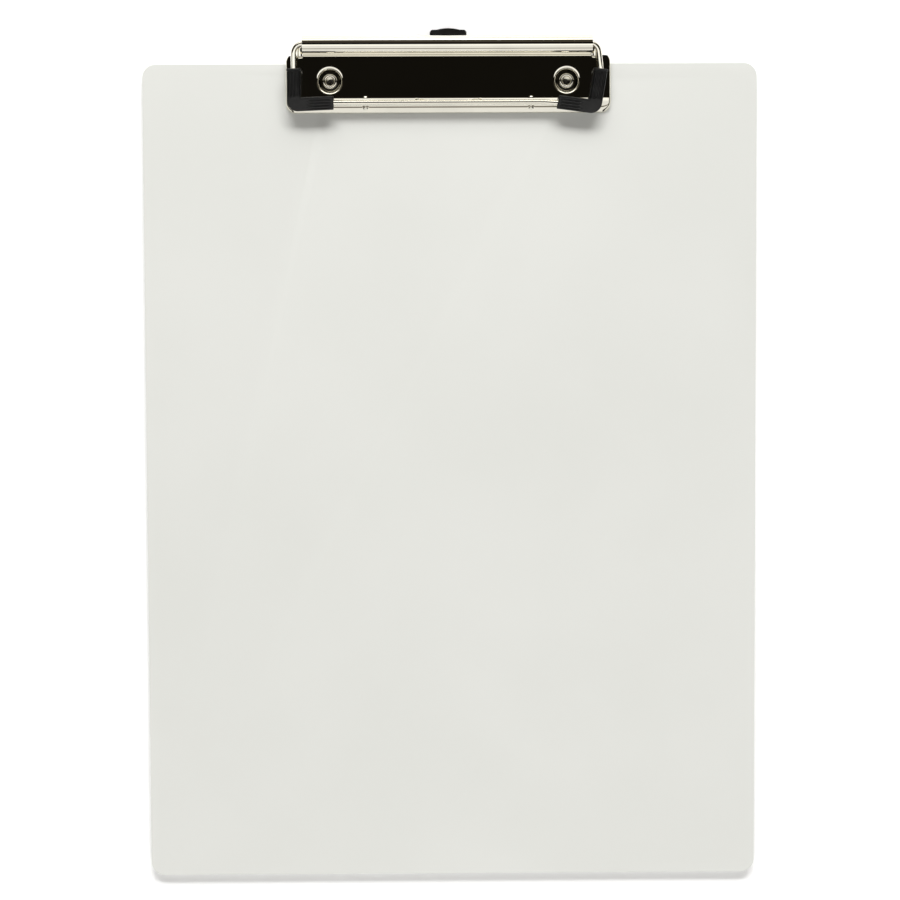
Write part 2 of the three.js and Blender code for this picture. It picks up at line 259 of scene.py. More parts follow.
class Shader:
    """A node material, with short ways to add and join nodes."""

    def __init__(self, name):
        self.material = bpy.data.materials.new(name)
        self.material.use_nodes = True
        self.tree = self.material.node_tree
        self.surface = self.tree.nodes["Principled BSDF"]
        self.place = self.node("ShaderNodeTexCoord").outputs["Object"]

    def node(self, kind, **settings):
        made = self.tree.nodes.new(kind)
        for key, value in settings.items():
            setattr(made, key, value)
        return made

    def join(self, source, target):
        self.tree.links.new(source, target)

    def set(self, **values):
        for key, value in values.items():
            self.surface.inputs[key.replace("_", " ")].default_value = value

    def noise(self, size_mm, detail=4.0, roughness=0.5, stretch=(1, 1, 1)):
        """Noise whose features are about size_mm across, longer by stretch."""
        mapping = self.node("ShaderNodeMapping")
        mapping.inputs["Scale"].default_value = tuple(1 / s for s in stretch)
        self.join(self.place, mapping.inputs["Vector"])
        noise = self.node("ShaderNodeTexNoise")
        noise.inputs["Scale"].default_value = 1 / (size_mm * MM)
        noise.inputs["Detail"].default_value = detail
        noise.inputs["Roughness"].default_value = roughness
        self.join(mapping.outputs["Vector"], noise.inputs["Vector"])
        return noise.outputs["Fac"]

    def ranged(self, value, low, high, to_low, to_high):
        node = self.node("ShaderNodeMapRange", interpolation_type="SMOOTHSTEP")
        for key, number in zip(("From Min", "From Max", "To Min", "To Max"), (low, high, to_low, to_high)):
            node.inputs[key].default_value = number
        self.join(value, node.inputs["Value"])
        return node.outputs["Result"]

    def mixed(self, factor, first, second):
        node = self.node("ShaderNodeMix", data_type="RGBA")
        node.inputs["A"].default_value = (*first, 1)
        node.inputs["B"].default_value = (*second, 1)
        self.join(factor, node.inputs["Factor"])
        return node.outputs["Result"]

    def recess_shaded(self, colour, reach_mm):
        """The colour, darkened to a painted shade where the surface is shut in by others within reach_mm.
        """
        open_air = self.node("ShaderNodeAmbientOcclusion", samples=8)
        open_air.inputs["Distance"].default_value = reach_mm * MM
        unshaded = self.ranged(open_air.outputs["AO"], 0.12, 0.45, 0, 1)
        node = self.node("ShaderNodeMix", data_type="RGBA")
        node.inputs["A"].default_value = (*RECESS_SHADE, 1)
        self.join(colour, node.inputs["B"])
        self.join(unshaded, node.inputs["Factor"])
        return node.outputs["Result"]

    def bump(self, height, depth_mm, strength=1.0, after=None):
        node = self.node("ShaderNodeBump")
        node.inputs["Strength"].default_value = strength
        node.inputs["Distance"].default_value = depth_mm * MM
        self.join(height, node.inputs["Height"])
        if after is not None:
            self.join(after, node.inputs["Normal"])
        self.join(node.outputs["Normal"], self.surface.inputs["Normal"])
        return node.outputs["Normal"]


def white_panel():
    """Satin white laminate: faint cloudiness, a fine pebble and a few duller rubbed patches."""
    s = Shader("white_panel")
    s.set(IOR=1.45)
    cloud = s.ranged(s.noise(85, detail=3), 0.3, 0.7, 0, 1)
    s.join(s.mixed(cloud, *BOARD_WHITES), s.surface.inputs["Base Color"])
    rubbed = s.noise(30, detail=6, roughness=0.6)
    s.join(s.ranged(rubbed, 0.35, 0.7, 0.40, 0.52), s.surface.inputs["Roughness"])
    pebble = s.bump(s.noise(0.7, detail=2), 0.012, 0.5)
    s.bump(s.noise(60, detail=1), 0.25, 0.3, after=pebble)
    return s.material


def nickel(name, tint, rough, smear=0.05, grain_mm=0.25, grain=0.0006, shade_reach_mm=0):
    """Bright plated steel: smears in the polish, a hair-fine grain and slow waves in the sheet."""
    s = Shader(name)
    s.set(Metallic=1.0)
    stain = s.ranged(s.noise(14, detail=5), 0.35, 0.75, 0, 1)
    darker = tuple(STAINED * c for c in tint)
    colour = s.mixed(stain, tint, darker)
    # painted shade: the colour darkens where other surfaces close in, as a shadow would
    if shade_reach_mm:
        colour = s.recess_shaded(colour, shade_reach_mm)
    s.join(colour, s.surface.inputs["Base Color"])
    smears = s.noise(6, detail=6, roughness=0.65, stretch=(2.5, 1, 1))
    s.join(s.ranged(smears, 0.4, 0.8, rough, rough + smear), s.surface.inputs["Roughness"])
    fine = s.bump(s.noise(grain_mm, detail=2), grain, 0.5)
    s.bump(s.noise(9, detail=1), 0.004, 0.5, after=fine)
    return s.material


def black_rubber():
    """Soft black rubber with a fine skin texture and dusty, paler worn patches."""
    s = Shader("black_rubber")
    s.set(Specular_IOR_Level=0.45)
    dust = s.ranged(s.noise(3.5, detail=5, roughness=0.6), 0.45, 0.8, 0, 1)
    s.join(s.mixed(dust, *RUBBER_BLACKS), s.surface.inputs["Base Color"])
    s.join(s.ranged(s.noise(1.4, detail=4), 0.3, 0.7, 0.32, 0.45), s.surface.inputs["Roughness"])
    s.bump(s.noise(0.18, detail=3), 0.02, 0.5)
    return s.material


def black_plastic():
    """Moulded black plastic: a fine spark-eroded texture with flow marks."""
    s = Shader("black_plastic")
    s.set(Specular_IOR_Level=0.3)
    flow = s.ranged(s.noise(5, detail=4, stretch=(1, 3, 1)), 0.35, 0.7, 0, 1)
    s.join(s.mixed(flow, *PLASTIC_BLACKS), s.surface.inputs["Base Color"])
    s.join(s.ranged(s.noise(2.2, detail=4), 0.3, 0.7, 0.3, 0.45), s.surface.inputs["Roughness"])
    s.bump(s.noise(0.25, detail=2), 0.015, 0.5)
    return s.material


panel_white = white_panel()
plate_nickel = nickel("nickel_plate", NICKEL, rough=0.02, smear=0.035)
wire_nickel = nickel("nickel_wire", NICKEL, rough=0.07, grain_mm=0.12, grain=0.0008)
# the rivet's bore and the foot of its head get painted shade within 2.2 mm
rivet_nickel = nickel("nickel_rivet", NICKEL, rough=0.10, smear=0.08, shade_reach_mm=2.2)
rubber = black_rubber()
plastic = black_plastic()


# ---------------------------------------------------------------- board

BOARD_CORNER = 5
BOARD_EDGE = 0.55  # rounding along the panel's edges
GROOVE_DEPTH = 1.2
GROOVE_CLEAR = 0.3  # room round the hanger in its groove
GROOVE_FRONT = TOP_EDGE - 15.9
SLIDE = 12.0  # the hanger's travel
SINK_CLEAR = 0.3  # room round a rivet's head in its pocket

RIVET_X = 43.9
RIVET_Y = TOP_EDGE - 6.5
SHANK = 1.95
HEAD = 4.0
HEAD_HEIGHT = 0.85


def rounded_outline(half_x, half_y, radius, steps=12):
    """A rectangle round the origin with rounded corners, as (x, y) points."""
    outline = []
    for start, sx, sy in ((0, 1, 1), (90, -1, 1), (180, -1, -1), (270, 1, -1)):
        centre = (sx * (half_x - radius), sy * (half_y - radius))
        outline += arc(centre, radius, start, start + 90, steps)
    return outline


def make_board():
    """The panel, with the hanger's groove in its face and a bore and a pocket for each rivet."""
    outline = rounded_outline(board_high[0], TOP_EDGE, BOARD_CORNER)
    slab = mesh_of("slab", *extruded(outline, board_low[2], FACE))

    past = 1  # how far the cutting solids stick out of the panel
    wide = (hanger_high[0] - hanger_low[0]) / 2 + GROOVE_CLEAR
    narrow = HANGER_HALF + GROOVE_CLEAR
    stop = TAIL_END + SLIDE + GROOVE_CLEAR
    right = [(wide, GROOVE_FRONT), (wide, stop), (narrow, stop), (narrow, TOP_EDGE + 2 * past)]
    groove = [(CLIP_X + x, y) for x, y in right] + [(CLIP_X - x, y) for x, y in right[::-1]]
    cuts = [mesh_of("groove", *extruded(groove, FACE - GROOVE_DEPTH, FACE + 2 * past))]
    for side in (-1, 1):
        centre = (CLIP_X + side * RIVET_X, RIVET_Y)
        bore = arc(centre, SHANK + REST, 0, 360, 48)[:-1]
        sink = arc(centre, HEAD + SINK_CLEAR, 0, 360, 72)[:-1]
        cuts.append(mesh_of("bore", *extruded(bore, -past, FACE + past)))
        cuts.append(mesh_of("sink", *extruded(sink, -past, HEAD_HEIGHT + 2 * REST)))
    mesh = shaped(slab, cuts=cuts, bevel=BOARD_EDGE, segments=5)
    mesh.name = "board_panel"
    return finish_piece("board_panel", mesh, panel_white, "board", ["board"], sharp=30)


# ---------------------------------------------------------------- base plate

SLOPE = math.radians(1)  # the flat rises towards the front
RISE = math.radians(4)  # and the strip behind the knee rises towards the barrel
FLANGE = math.radians(43)  # how steeply the front flange drops
FRONT_R = 7.0  # shoulder over the front flange
FOOT_LIP = 0.45  # height of the steeper strip along the flange's foot
FOOT_STEEP = math.radians(62)
SIDE_R = 1.2  # shoulder over the side walls
SIDE_SHARE = 0.9  # of a low wall's height that its shoulder may take
FLAT_END = TOP_EDGE - 12.4  # front end of the flat
KNEE_Y = TOP_EDGE + 3.6
KNEE_R = 6.0
TONGUE_END = TOP_EDGE + 2.75  # rear end of the tongues beside the barrel
FRONT_CORNER = 3.5
TONGUE_CORNER = 2.2

ROLL_START = math.pi * 1.5 + RISE
ROLL_SWEEP = math.radians(312) - 0.1
ROLL_END = ROLL_START + ROLL_SWEEP
roll_y = BARREL_Y + BORE * math.cos(ROLL_START)
roll_z = BARREL_Z + BORE * math.sin(ROLL_START)
knee_z = roll_z - (roll_y - KNEE_Y) * math.tan(RISE)
shoulder_y = FLAT_END - FRONT_R * math.sin(SLOPE)
shoulder_z = knee_z + (KNEE_Y - FLAT_END) * math.tan(SLOPE) - FRONT_R * math.cos(SLOPE)
CREST = shoulder_z + FRONT_R

CUP_FLOOR = FOOT + SHEET
CUP_TOP_R = 5.35
CUP_RIM = 1.3  # radius of the rounding round a cup
CUP_WALL = math.radians(66)
BEAD_X = 30.7
BEAD_Y = TOP_EDGE - 14.6
BEAD_R = 1.3
BEAD_HALF = 1.75  # half the length of its straight ridge
BEAD_RISE = 0.38
BEAD_END = 1.7  # how much steeper its ends are than its sides
SCOOP_FLOOR = CREST - 0.38
SCOOP_REAR = TOP_EDGE - 13.5  # the rear wall's foot at the scoop's ends
SCOOP_HALF = 11.9
SCOOP_SLANT = 0.13  # the wall runs forwards towards the middle
SCOOP_WALL = 1.2  # the steepness of its walls
SCOOP_BLEND = 0.06


def lengthwise_profile():
    """The sheet's upper face from the front foot to the end of the roll, as fine (y, z) points."""
    tangent_y = shoulder_y - FRONT_R * math.sin(FLANGE)
    tangent_z = shoulder_z + FRONT_R * math.cos(FLANGE)
    lip_y = tangent_y - (tangent_z - FOOT - FOOT_LIP) / math.tan(FLANGE)
    foot_y = lip_y - FOOT_LIP / math.tan(FOOT_STEEP)
    points = [(foot_y, FOOT), (lip_y, FOOT + FOOT_LIP), (tangent_y, tangent_z)]
    start = 90 + math.degrees(FLANGE)
    points += arc((shoulder_y, shoulder_z), FRONT_R, start, 90 - math.degrees(SLOPE), 280)[1:]
    bend = filleted([(FLAT_END, points[-1][1]), (KNEE_Y, knee_z), (roll_y, roll_z)], [KNEE_R], turn=1)
    points += [tuple(p) for p in bend[1:]]
    roll = arc((BARREL_Y, BARREL_Z), BORE, math.degrees(ROLL_START), math.degrees(ROLL_END), 400)
    return np.array(points + roll[1:])


PROFILE = lengthwise_profile()
ALONG = np.concatenate(([0], np.cumsum(np.linalg.norm(np.diff(PROFILE, axis=0), axis=1))))
HEIGHTFIELD = int(np.argmax(PROFILE[:, 0] > roll_y - 0.05)) + 1
FRONT_Y = PROFILE[0, 0]


def at_length(v):
    """Place (y, z) on the sheet's upper face at length v from the front foot."""
    return np.interp(v, ALONG, PROFILE[:, 0]), np.interp(v, ALONG, PROFILE[:, 1])


def length_at(y):
    """Length from the front foot at y, ahead of the roll."""
    return np.interp(y, PROFILE[:HEIGHTFIELD, 0], ALONG[:HEIGHTFIELD])


def lower_of(a, b, blend):
    """The lower of two heights, rounded where they cross."""
    share = np.clip(0.5 + 0.5 * (b - a) / blend, 0, 1)
    return b * (1 - share) + a * share - blend * share * (1 - share)


def smooth(value):
    """0 to 1 with level ends."""
    value = np.clip(value, 0, 1)
    return value * value * (3 - 2 * value)


def cup_profile():
    """Radii from a cup's floor outwards, and the share of its full depth reached at each."""
    depth = CREST - CUP_FLOOR
    rim = arc((CUP_TOP_R, -CUP_RIM), CUP_RIM, 90, 90 + math.degrees(CUP_WALL), 24)
    foot_r = rim[-1][0] - (depth + rim[-1][1]) / math.tan(CUP_WALL)
    points = [(foot_r, -depth)] + rim[::-1]
    return [r for r, _ in points], [-z / depth for _, z in points]


CUP_REACH, CUP_SHARE = cup_profile()


def pressed(x, y, z):
    """The height of the sheet after its cups, beads and finger scoop are pressed in."""
    for side in (-1, 1):
        r = np.hypot(x - side * RIVET_X, y - RIVET_Y)
        z = z - (z - CUP_FLOOR) * np.interp(r, CUP_REACH, CUP_SHARE)
        off = np.hypot(x - side * BEAD_X, BEAD_END * np.clip(np.abs(y - BEAD_Y) - BEAD_HALF, 0, None))
        z = z + BEAD_RISE * smooth(1 - off / BEAD_R)
    rear = np.clip(y - SCOOP_REAR + SCOOP_SLANT * (SCOOP_HALF - np.abs(x)), 0, None)
    beyond = np.clip(np.abs(x) - SCOOP_HALF, 0, None)
    return lower_of(z, SCOOP_FLOOR + SCOOP_WALL * np.hypot(rear, beyond), SCOOP_BLEND)


SIDE_FLAT = HALF_WIDTH - SIDE_R
SIDE_WALL = SIDE_FLAT + SIDE_R * math.pi / 2  # crosswise length where the side wall starts
SIDE_END = SIDE_WALL + 1  # and, in steps of one wall height, where it ends


def sheet_point(u, v):
    """The upper face at crosswise length u and lengthwise length v."""
    y, z = at_length(v)
    tall = np.maximum(z - FOOT, 1e-3)
    r = np.minimum(SIDE_R, SIDE_SHARE * tall)
    r = np.where(y > TONGUE_END + 0.01, SIDE_R, r)
    across = np.abs(u)
    turn = np.clip((across - SIDE_FLAT) / SIDE_R, 0, math.pi / 2)
    x = np.minimum(across, SIDE_FLAT) * (HALF_WIDTH - r) / SIDE_FLAT + r * np.sin(turn)
    drop = r * (1 - np.cos(turn)) + (tall - r) * np.clip(across - SIDE_WALL, 0, 1)
    x = x * np.sign(u)
    in_field = v < length_at(TONGUE_END) + 1e-6
    z = np.where(in_field, pressed(x, y, z), z) - drop
    for end, corner, way in ((FRONT_Y, FRONT_CORNER, 1), (TONGUE_END, TONGUE_CORNER, -1)):
        a = (np.abs(x) - (HALF_WIDTH - corner)) / corner
        b = 1 - way * (y - end) / corner
        inside = (a > 0) & (b > 0) & (b < 1.001)
        round_a = a * np.sqrt(np.clip(1 - b * b / 2, 0, 1))
        round_b = b * np.sqrt(np.clip(1 - a * a / 2, 0, 1))
        x = np.where(inside, np.sign(x) * (HALF_WIDTH - corner + round_a * corner), x)
        y = np.where(inside, end + way * (1 - round_b) * corner, y)
    return np.stack((x, y, z), axis=-1)


WINDOW = 5.95  # half the side of the square round each rivet that is meshed in rings
WINDOW_STEP = 0.3
CUP_FINE = (3.4, 5.5)  # radii between which the rings are closest
FINE_FRONT = TOP_EDGE - 16.8  # where the rows spaced by y begin


def spans(*parts):
    """Break points through (start, end, step) stretches."""
    values = []
    for start, end, step in parts:
        count = max(1, round((end - start) / step))
        values += list(np.linspace(start, end, count, endpoint=False))
    return np.array(values + [parts[-1][1]])


def crosswise_breaks():
    """Crosswise lengths of the grid's lines: closest at the scoop's ends, the beads and the side walls."""
    near, far = RIVET_X - WINDOW, RIVET_X + WINDOW
    half = spans(
        (0, 9, 0.5), (9, 14.5, 0.22), (14.5, 28.4, 0.7), (28.4, 33, 0.2), (33, near, 0.5),
        (near, far, WINDOW_STEP), (far, BARREL_RIGHT, 0.4), (BARREL_RIGHT, -BARREL_LEFT, 0.3),
        (-BARREL_LEFT, SIDE_FLAT, 0.4), (SIDE_FLAT, SIDE_WALL, 0.3), (SIDE_WALL, SIDE_END, 0.2))
    return np.concatenate((-half[:0:-1], half))


def lengthwise_breaks():
    """Lengthwise places of the grid's lines, from the front foot to the end of the roll."""
    near, far = RIVET_Y - WINDOW, RIVET_Y + WINDOW
    by_y = length_at(spans((FINE_FRONT, near, 0.2), (near, far, WINDOW_STEP),
                           (far, TONGUE_END, 0.35), (TONGUE_END, roll_y - 0.1, 0.35)))
    start = spans((0, ALONG[1], 0.13), (ALONG[1], ALONG[2], 0.25), (ALONG[2], by_y[0], 0.15))[:-1]
    roll = spans((by_y[-1], ALONG[-1], 0.2))[1:]
    return np.concatenate((start, by_y, roll))


def window_patch(side, us, vs, number_of, points, faces):
    """Rings from the rivet hole out to the square window's edge, on the pressed sheet."""
    centre = np.array((side * RIVET_X, RIVET_Y))
    y_at, _ = at_length(vs)
    columns = [i for i, u in enumerate(us) if abs(u - centre[0]) < WINDOW + 1e-6]
    rows = [k for k, y in enumerate(y_at) if abs(y - RIVET_Y) < WINDOW + 1e-3]
    edge = [(i, rows[0]) for i in columns[:-1]] + [(columns[-1], k) for k in rows[:-1]]
    edge += [(i, rows[-1]) for i in columns[:0:-1]] + [(columns[0], k) for k in rows[:0:-1]]
    rim = np.array([(us[i], y_at[k]) for i, k in edge]) - centre
    reach = np.hypot(*rim.T)
    unit = rim / reach[:, None]
    start, end = CUP_FINE
    radii = spans((SHANK + REST, start, 0.4), (start, end, 0.1), (end, WINDOW - 0.15, 0.15))
    previous = None
    for r in radii:
        plan = centre + unit * r
        v = length_at(plan[:, 1])
        heights = pressed(plan[:, 0], plan[:, 1], at_length(v)[1])
        ring = [len(points) + n for n in range(len(edge))]
        points += [np.array((x, y, z)) for (x, y), z in zip(plan, heights)]
        if previous is not None:
            join_loops(faces, ring, previous)
        previous = ring
    join_loops(faces, [number_of[i, k] for i, k in edge], previous)


def join_loops(faces, first, second):
    """Adds the quads between two closed loops of point numbers."""
    count = len(first)
    for n in range(count):
        m = (n + 1) % count
        faces.append((first[n], first[m], second[m], second[n]))


def make_base_plate():
    """The pressed sheet: a grid with a ring-meshed window round each rivet, given its thickness."""
    us, vs = crosswise_breaks(), lengthwise_breaks()
    y_at, _ = at_length(vs)
    last_tongue = int(np.argmin(np.abs(vs - length_at(TONGUE_END))))
    grid_u, grid_v = np.meshgrid(us, vs, indexing="ij")
    places = sheet_point(grid_u, grid_v)

    def wanted(i, k):
        x, y = (us[i] + us[i + 1]) / 2, (y_at[k] + y_at[k + 1]) / 2
        if k >= last_tongue:
            return BARREL_LEFT < x < BARREL_RIGHT
        return not (abs(abs(x) - RIVET_X) < WINDOW and abs(y - RIVET_Y) < WINDOW)

    number_of, points, faces = {}, [], []

    def number(i, k):
        if (i, k) not in number_of:
            number_of[i, k] = len(points)
            points.append(places[i, k])
        return number_of[i, k]

    for i in range(len(us) - 1):
        for k in range(len(vs) - 1):
            if wanted(i, k):
                faces.append((number(i, k), number(i + 1, k), number(i + 1, k + 1), number(i, k + 1)))
    for side in (-1, 1):
        window_patch(side, us, vs, number_of, points, faces)
    points, faces = thickened(np.array(points), faces, SHEET)
    points[:, 0] += CLIP_X
    mesh = mesh_of("pressed_base_plate", points, faces)
    return finish_piece(
        "pressed_base_plate", mesh, plate_nickel, "board", ["base_plate"])


def thickened(points, faces, thickness):
    """A sheet as a closed solid: its upper face, the same face set back, and a rim between them."""
    quads = np.array(faces)
    normals = np.zeros_like(points)
    for a, b, c in ((0, 1, 2), (0, 2, 3)):
        from_a = points[quads[:, a]]
        cross = np.cross(points[quads[:, b]] - from_a, points[quads[:, c]] - from_a)
        for corner in (a, b, c):
            np.add.at(normals, quads[:, corner], cross)
    normals /= np.linalg.norm(normals, axis=1)[:, None]
    under = points - normals * thickness
    under[:, 2] = np.maximum(under[:, 2], FOOT)
    count = len(points)
    edges = dict.fromkeys((a, b) for face in faces for a, b in zip(face, face[1:] + face[:1]))
    rim = [(b, a, a + count, b + count) for a, b in edges if (b, a) not in edges]
    lower = [tuple(n + count for n in face[::-1]) for face in faces]
    return np.concatenate((points, under)), faces + lower + rim


# ---------------------------------------------------------------- rivets

RIVET_HOLE = 1.5
RIVET_HOLE_END = 1.2  # height of the blind hole's floor
HEAD_ROUND = 0.55
CROWN = [(0, 0), (2.2, 0.02), (3.1, 0.1)]  # the head's shallow dome, from its middle
LIP_R = 0.6  # the rolled-over end in the cup
LIP_CENTRE = (2.12, 0.45)


def make_rivet(side):
    """A tubular rivet: head in the board's pocket, end rolled over on the cup's floor."""
    seat = CUP_FLOOR + REST
    head = [(r, REST + rise) for r, rise in CROWN]
    head += arc((HEAD - HEAD_ROUND, REST + HEAD_ROUND), HEAD_ROUND, -60, 0, 5)
    head += [(HEAD, REST + HEAD_HEIGHT), (SHANK, REST + HEAD_HEIGHT), (SHANK, seat)]
    roll = [(SHANK + 0.1, seat)] + arc((LIP_CENTRE[0], seat + LIP_CENTRE[1]), LIP_R, -45, 180, 18)
    inside = [(RIVET_HOLE, seat), (RIVET_HOLE, RIVET_HOLE_END), (0, RIVET_HOLE_END)]
    points, faces = lathe(head + roll + inside, CLIP_X + side * RIVET_X, RIVET_Y)
    name = "tubular_rivet_left" if side < 0 else "tubular_rivet_right"
    node = "rivet_left" if side < 0 else "rivet_right"
    return finish_piece(name, mesh_of(name, points, faces), rivet_nickel, "board", [node])


# ---------------------------------------------------------------- wires

PINTLE = 50.0  # where the turning wire ends inside the barrel
LEFT_ARM = -57.05
RIGHT_ARM = 55.2
BEND = 3.5
BOW = (36.0, BAR)  # where the bar starts to bow forwards to the right corner
BOW_BEND = 60
RIGHT_CORNER = (54.1, BAR - 1.4)
RIGHT_KNEE = (56.4, -9.5)
KNEE_BEND = 12


def in_bail(points):
    """Points of the bail's own plane, hinge at y = 0, placed in the part's frame."""
    points = np.asarray(points, float)
    x, y, z = points.T if points.shape[1] == 3 else (*points.T, 0)
    cos, sin = math.cos(BAIL_DIP), math.sin(BAIL_DIP)
    return np.column_stack((CLIP_X + x, HINGE_Y + y * cos - z * sin, HINGE_Z + y * sin + z * cos))


def make_bail_wire():
    """The turning part of the spring wire: two arms, the bar and the short ends in the barrel."""
    corners = [(-PINTLE, 0), (LEFT_ARM, 0), (LEFT_ARM, BAR), BOW, RIGHT_CORNER, RIGHT_KNEE,
               (RIGHT_ARM, 0), (PINTLE, 0)]
    route = filleted(corners, [BEND, BEND, BOW_BEND, BEND, KNEE_BEND, BEND])
    points, faces = joined_rings(wire_rings(in_bail(route), WIRE))
    mesh = mesh_of("spring_bail_wire", points, faces)
    return finish_piece("spring_bail_wire", mesh, wire_nickel, "bail", ["bail_wire"])


PAIR_Y = 0.3  # how far each of the barrel's two wires lies off its centre
PAIR_Z = 1.2
SPLIT = 0.3  # gap between a leg and the turning wire
SWAP = 8.0  # half the length over which the two legs change places
SWAP_STEPS = 24
PAUSE = 2.0  # straight stretch before and after the swap
HOOK_RUN = 4.0  # how far inside the barrel's end the route of the hook starts
HOOK_CLEAR = WIRE + REST
HOOK_LIFT = 0.05  # and a little more room under the hook's tip
HOOK_END = TOP_EDGE + 2.1
HOOK_BEND = 1.2


def make_torsion_leg(side):
    """A leg of the spring: from the bail's end, half a turn round its twin, to a hook on the plate."""

    def place(x, turn):
        y = BARREL_Y + PAIR_Y * math.cos(turn) - PAIR_Z * math.sin(turn)
        z = BARREL_Z + PAIR_Z * math.cos(turn) + PAIR_Y * math.sin(turn)
        return np.array((x, y, z))

    calm = SWAP + PAUSE
    route = [place(side * x, 0) for x in np.linspace(PINTLE - SPLIT, calm, 12)]
    for k in range(SWAP_STEPS + 1):
        share = k / SWAP_STEPS
        route.append(place(side * SWAP * (1 - 2 * share), side * math.pi * smooth(share)))
    hook_start = BARREL_HALF - HOOK_RUN
    route += [place(-side * x, math.pi) for x in np.linspace(calm, hook_start - PAUSE, 10)]
    far = BARREL_RIGHT + HOOK_CLEAR if side < 0 else BARREL_LEFT - HOOK_CLEAR
    tip = knee_z + (KNEE_Y - HOOK_END) * math.tan(SLOPE) + HOOK_CLEAR + HOOK_LIFT
    corners = [place(-side * hook_start, math.pi), place(far, math.pi), (far, HOOK_END, tip)]
    route += filleted(corners, [HOOK_BEND], turn=10)
    route = np.array(route)
    route[:, 0] += CLIP_X
    points, faces = joined_rings(wire_rings(route, WIRE))
    name = "spring_leg_left" if side < 0 else "spring_leg_right"
    node = "torsion_leg_left" if side < 0 else "torsion_leg_right"
    return finish_piece(name, mesh_of(name, points, faces), wire_nickel, "board", [node])


# ---------------------------------------------------------------- rubber corner grips

GRIP_W = 2.55  # half the width of a grip's legs
GRIP_BELOW = 1.45  # from the wire's middle down to its underside
GRIP_ABOVE = 2.3
GRIP_TOP_ROUND = 0.75
GRIP_LOW_ROUND = 0.5
GRIP_CORNER = 4.0  # radius of its outer corner
GRIP_INNER = 0.3  # and of its inner one
GRIP_END_ROUND = 0.28
CHANNEL = WIRE + 0.15
RIB_PITCH = 1.08
RIB_DEPTH = 0.4
RIB_EDGE = 0.3  # plain margin beside the ribs, and the width over which they fade into it
RIB_FADE = 1.5  # length over which they fade towards the corner
RIBS_FROM_END = 1.1
COLLAR = 0.7  # length of the thicker collar at the rear end
COLLAR_SWELL = 0.16
NECK = COLLAR + 0.25  # place of the groove next to the collar
NECK_DEPTH = 0.14
NECK_HALF = 0.12

LEFT_GRIP = {
    "rear": (-57, -8.95), "corner": (-57, -22.1), "inner": (-42.5, -21.5),
    "wire_rear": (LEFT_ARM, -8.95), "wire_corner": (LEFT_ARM, BAR), "wire_inner": (-42.5, BAR)}
RIGHT_GRIP = {
    "rear": (56.3, -9.3), "corner": (54.05, -23.2), "inner": (40.5, -21.4),
    "wire_rear": (56.3, -9.3), "wire_corner": RIGHT_CORNER, "wire_inner": (40.5, BAR - 0.35)}


def grip_section():
    """Points (across, up) round a grip's leg: across is positive on the outer side."""
    top, low = GRIP_TOP_ROUND, GRIP_LOW_ROUND
    w, up, down = GRIP_W, GRIP_ABOVE, -GRIP_BELOW
    loop = [(x, up) for x in np.linspace(w - top, top - w, 41)]
    loop += arc((top - w, up - top), top, 90, 180, 7)[1:]
    loop += [(-w, z) for z in np.linspace(up - top, down + low, 5)[1:]]
    loop += arc((low - w, down + low), low, 180, 270, 5)[1:]
    loop += [(x, down) for x in np.linspace(low - w, w - low, 7)[1:]]
    loop += arc((w - low, down + low), low, 270, 360, 5)[1:]
    loop += [(w, z) for z in np.linspace(down + low, up - top, 5)[1:]]
    loop += arc((w - top, up - top), top, 0, 90, 7)[1:-1]
    return np.array(loop)


def ribbed(section, ribs, swell, inset):
    """The section with its top grooved between ribs, swollen by the collar or drawn in at an end."""
    made = section.copy()
    groove = 0.5 + 0.5 * np.cos(2 * math.pi * section[:, 0] / RIB_PITCH + math.pi)
    across = smooth((GRIP_W - RIB_EDGE - np.abs(section[:, 0])) / RIB_EDGE)
    on_top = section[:, 1] > GRIP_ABOVE - 0.05
    made[:, 1] -= np.where(on_top, RIB_DEPTH * ribs * (1 - groove) * across, 0)
    middle = np.array((0, (GRIP_ABOVE - GRIP_BELOW) / 2))
    size = np.array((GRIP_W, (GRIP_ABOVE + GRIP_BELOW) / 2))
    return middle + (made - middle) * (size + swell - inset) / size


def drawn_in(from_end):
    """How far a grip's rounded end is drawn in at a distance from that end."""
    short = 1 - min(from_end, GRIP_END_ROUND) / GRIP_END_ROUND
    return GRIP_END_ROUND * (1 - math.sqrt(max(0, 1 - short ** 2)))


def flat(point):
    """A point or direction of the bail's plane, as one in space."""
    return np.array((point[0], point[1], 0.0))


